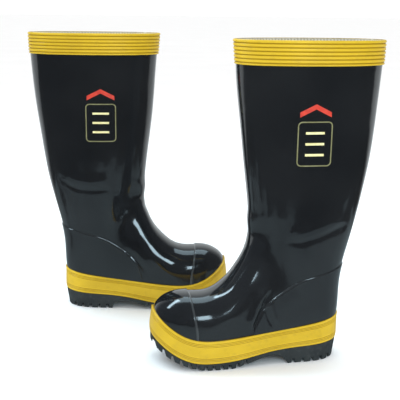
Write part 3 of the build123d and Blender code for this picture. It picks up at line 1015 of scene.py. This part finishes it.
def footbed(side):
    """The loose insole: a soft pad, dished at the heel."""
    rows = station_rows(RUBBER + LINING_GAP + LINING + 0.5, **LINING_ROOM)
    swing = (1 - np.cos(np.linspace(0, pi / 2, 18))) * 16
    xs = np.unique(np.round(np.concatenate([13 + swing, 223.5 - swing, np.arange(30, 208, 3.5)]), 2))
    bed = curve(FOXING_BOTTOM, xs) + BED_HEIGHT + FOOTBED
    place = place_at(rows, xs, bed)
    outer_edge = form(rows, place, side_angle(rows, place, xs, bed))[:, 1]
    outward = spline(KNOTS, rows[:, 5], place)
    half = np.maximum(outer_edge - outward, 0)
    nearest = np.minimum(xs - xs[0], xs[-1] - xs)
    half = np.minimum(half, np.sqrt(np.clip(nearest * (2 * 30 - nearest), 0, 900)) + 0.01) - 0.3
    share = np.sin(np.linspace(-pi / 2, pi / 2, 41))
    y = outward[:, None] + share * np.maximum(half, 0.02)[:, None]
    x = np.repeat(xs[:, None], 41, axis=1)
    away = np.minimum(np.maximum(half, 0.02)[:, None] * (1 - np.abs(share)), nearest[:, None])
    crown = 1.4 * (1 - np.sqrt(1 - (1 - np.clip(away / 3.5, 0, 1)) ** 2))
    dish = 1.2 * bump(45, 30, x) * (1 - share ** 2) - 0.8 * bump(105, 30, x) * ease(-0.2, 1, -share)
    top = np.stack([x, y, bed[:, None] - crown - dish], axis=-1)
    under = np.stack([x, y, bed[:, None] - FOOTBED + 0.5 * crown], axis=-1)
    points, faces = shell(top, under, False)
    piece = add_piece(side, "footbed", points, faces, [FELT])
    return piece


# ---- emblem: a plain frame with bars and a chevron, printed on the outer side of the leg ----
def path_points(corners, closed, step=1.5):
    """Points along straight runs between corners, no further apart than step."""
    ends = corners[1:] + corners[:1] if closed else corners[1:]
    points = []
    for (x0, z0), (x1, z1) in zip(corners, ends):
        count = max(2, int(np.hypot(x1 - x0, z1 - z0) / step))
        points += [(x0 + (x1 - x0) * k / count, z0 + (z1 - z0) * k / count) for k in range(count)]
    if not closed:
        points.append(corners[-1])
    return np.array(points, float)


def badge_patches(side):
    """A plain frame, three level bars and a chevron, each (centre line, closed, half width, ink)."""
    middle, low = BADGE_MIDDLE[side], BADGE_LOW[side]
    high = low + BADGE_HEIGHT
    outline = []
    for quarter, (x_side, z_side) in enumerate(((-1, -1), (1, -1), (1, 1), (-1, 1))):
        x = middle + x_side * (BADGE_HALF - BADGE_CORNER)
        z = (low + high) / 2 + z_side * (BADGE_HEIGHT / 2 - BADGE_CORNER)
        for step in range(0, 91, 15):
            turn = radians(180 + 90 * quarter + step)
            outline.append((x + BADGE_CORNER * cos(turn), z + BADGE_CORNER * sin(turn)))
    patches = [(outline, True, 0.75, "frame")]
    for share in (0.25, 0.5, 0.75):
        z = low + share * BADGE_HEIGHT
        patches.append(([(middle - 12, z), (middle + 12, z)], False, 1.5, "cream"))
    chevron = [(middle - 20, high + 9), (middle, high + 19), (middle + 20, high + 9)]
    patches.append((chevron, False, 3.2, "red"))
    return patches


def printed(side, x, z, lift):
    """Points of the print on the folded skin, lifted off it by millimetres."""
    low = KNOTS[10]
    point = on_side(OUTER_ROWS, x, z, low)
    ahead = on_side(OUTER_ROWS, x + 0.5, z, low) - point
    above = on_side(OUTER_ROWS, x, z + 0.5, low) - point
    normal = np.cross(above, ahead)
    normal /= np.linalg.norm(normal, axis=-1, keepdims=True)
    return point + normal * (relief(point, side) + lift)[..., None]


def badge(side):
    """The emblem: a thin raised shell for each of its strokes."""
    names = list(INKS)
    points, faces, used, count = [], [], [], 0
    for corners, closed, half, ink_name in badge_patches(side):
        line = path_points(corners, closed)
        ahead = np.roll(line, -1, axis=0) if closed else np.gradient(line, axis=0) + line
        behind = np.roll(line, 1, axis=0) if closed else line
        along = ahead - behind
        along /= np.linalg.norm(along, axis=1, keepdims=True)
        across = np.stack([-along[:, 1], along[:, 0]], axis=1)
        upright = half > UPRIGHT_FROM
        if upright:
            across = np.tile((0.0, 1.0), (len(line), 1))
        shares = np.linspace(-1, 1, 5 if upright else 3)
        grid = line[None, :, :] + shares[:, None, None] * half * across[None, :, :]
        outer = printed(side, grid[..., 0], grid[..., 1], 0.3)
        inner = printed(side, grid[..., 0], grid[..., 1], 0.02)
        part_points, part_faces = shell(outer, inner, closed)
        points.append(part_points)
        faces += [tuple(index + count for index in face) for face in part_faces]
        used += [names.index(ink_name)] * len(part_faces)
        count += len(part_points)
    return add_piece(side, "badge", np.concatenate(points), faces, list(INKS.values()),
                     face_materials=used)


BUILDERS = (
    upper, toe_overlay, heel_overlay, foxing_strip, top_band, outsole, lining, collar_tape, footbed, badge,
)
for side in ("left", "right"):
    for build in BUILDERS:
        build(side)

for side in ("left", "right"):
    for material, names in CARRIED_OVER:
        for name in names:
            node = frame["nodes"][f"{side}_{name}"]
            node.data.materials.clear()
            node.data.materials.append(material)


# ---- floor, light and camera ----
def dimmer_in_gloss(tree, plain, reflected, output):
    """Shows plain everywhere but in reflections, where glossy surfaces see reflected instead."""
    path = add_node(tree, "ShaderNodeLightPath")
    choose = add_node(tree, "ShaderNodeMixShader")
    tree.links.new(path.outputs["Is Glossy Ray"], choose.inputs["Fac"])
    tree.links.new(plain, choose.inputs[1])
    tree.links.new(reflected, choose.inputs[2])
    tree.links.new(choose.outputs["Shader"], tree.nodes[output].inputs["Surface"])


def floor():
    """A pale floor that reaches far beyond the view. Reflections see it dim, with an uneven edge."""
    mesh = bpy.data.meshes.new("floor")
    size = 60.0
    corners = [(-size, -size, 0), (size, -size, 0), (size, size, 0), (-size, size, 0)]
    mesh.from_pydata(corners, [], [(0, 1, 2, 3)])
    material, tree, shader = new_material("floor_look", 0.8)
    tree.links.new(ramp(tree, noise(tree, 2, 3), [(0.3, 0.93), (0.7, 0.96)]), shader.inputs["Base Color"])
    place = add_node(tree, "ShaderNodeNewGeometry")
    length = add_node(tree, "ShaderNodeVectorMath", operation="LENGTH")
    tree.links.new(place.outputs["Position"], length.inputs[0])
    ragged = add_node(tree, "ShaderNodeMath", operation="ADD")
    tree.links.new(length.outputs["Value"], ragged.inputs[0])
    tree.links.new(ramp(tree, noise(tree, 4.5, 4), [(0.35, 0.0), (0.65, 0.4)]), ragged.inputs[1])
    shade = [(0.25, (0.4, 0.52, 0.56)), (0.82, (0.28, 0.35, 0.38)), (0.9, (0.04, 0.038, 0.034))]
    front = ramp(tree, ragged.outputs["Value"], shade)
    apart = add_node(tree, "ShaderNodeSeparateXYZ")
    tree.links.new(place.outputs["Position"], apart.inputs["Vector"])
    behind = ramp(tree, apart.outputs["Y"], [(0.3, 0.0), (0.6, 1.0)])
    # painted reflection: a glowing pattern that only glossy rays see, dim and ragged in front of the boots,
    # pale behind
    dim = add_node(tree, "ShaderNodeEmission")
    tree.links.new(mix(tree, behind, front, (0.75, 0.8, 0.82)), dim.inputs["Color"])
    dimmer_in_gloss(tree, shader.outputs["BSDF"], dim.outputs["Emission"], "Material Output")
    mesh.materials.append(material)
    plane = bpy.data.objects.new("floor", mesh)
    bpy.context.scene.collection.objects.link(plane)


def soft_light(name, location, target, size, along, power):
    """A cool rectangular light that faces target, its first side laid along a direction."""
    light = bpy.data.lights.new(name, "AREA")
    light.shape = "RECTANGLE"
    light.size, light.size_y = size
    light.energy = power
    light.color = (0.66, 0.88, 1)
    lamp = bpy.data.objects.new(name, light)
    away = (Vector(location) - Vector(target)).normalized()
    side = Vector(along)
    side = (side - side.dot(away) * away).normalized()
    turn = Matrix((side, away.cross(side), away)).transposed()
    lamp.matrix_world = Matrix.Translation(location) @ turn.to_4x4()
    bpy.context.scene.collection.objects.link(lamp)


def world():
    """A white room. Reflections see it dark in front of the boots and pale behind them."""
    scene_world = bpy.data.worlds.new("studio")
    bpy.context.scene.world = scene_world
    scene_world.use_nodes = True
    tree = scene_world.node_tree
    plain = tree.nodes["Background"]
    plain.inputs["Color"].default_value = (1, 1, 1, 1)
    plain.inputs["Strength"].default_value = 1.12
    # painted reflection: a backdrop that only glossy rays see, dark in front of the boots and pale behind
    reflected = add_node(tree, "ShaderNodeBackground")
    place = add_node(tree, "ShaderNodeTexCoord")
    apart = add_node(tree, "ShaderNodeSeparateXYZ")
    tree.links.new(place.outputs["Generated"], apart.inputs["Vector"])
    backdrop = ramp(tree, apart.outputs["Y"], [(0.45, (0.09, 0.1, 0.11)), (0.85, (0.75, 0.8, 0.82))])
    tree.links.new(backdrop, reflected.inputs["Color"])
    dimmer_in_gloss(tree, plain.outputs["Background"], reflected.outputs["Background"], "World Output")


def camera():
    """The viewpoint: in front, tilted down a little and slightly rolled."""
    data = bpy.data.cameras.new("camera")
    data.lens = 78.0
    data.sensor_width = 36.0
    view = bpy.data.objects.new("camera", data)
    bpy.context.scene.collection.objects.link(view)
    aim = Euler((radians(90 - 12.41), 0, radians(-0.93))).to_matrix()
    turn = aim @ Matrix.Rotation(radians(0.63), 3, "Z")
    view.matrix_world = Matrix.Translation((-0.0075, -1.2067, 0.4552)) @ turn.to_4x4()
    bpy.context.scene.camera = view


bpy.context.scene.view_settings.view_transform = "Standard"
floor()
world()
soft_light("left_window", (-0.92, 0.22, 1.43), (0, -0.1, 0.1), (1.2, 0.26), (-0.96, -0.72, -0.5), 12)
soft_light("front_window", (0.5, -1.6, 0.85), (0, 0, 0.1), (0.5, 0.45), (1, 0, 0), 8)
soft_light("top", (0, 0.9, 2.2), (0, 0, 0), (2.2, 1.2), (1, 0, 0), 22)
camera()
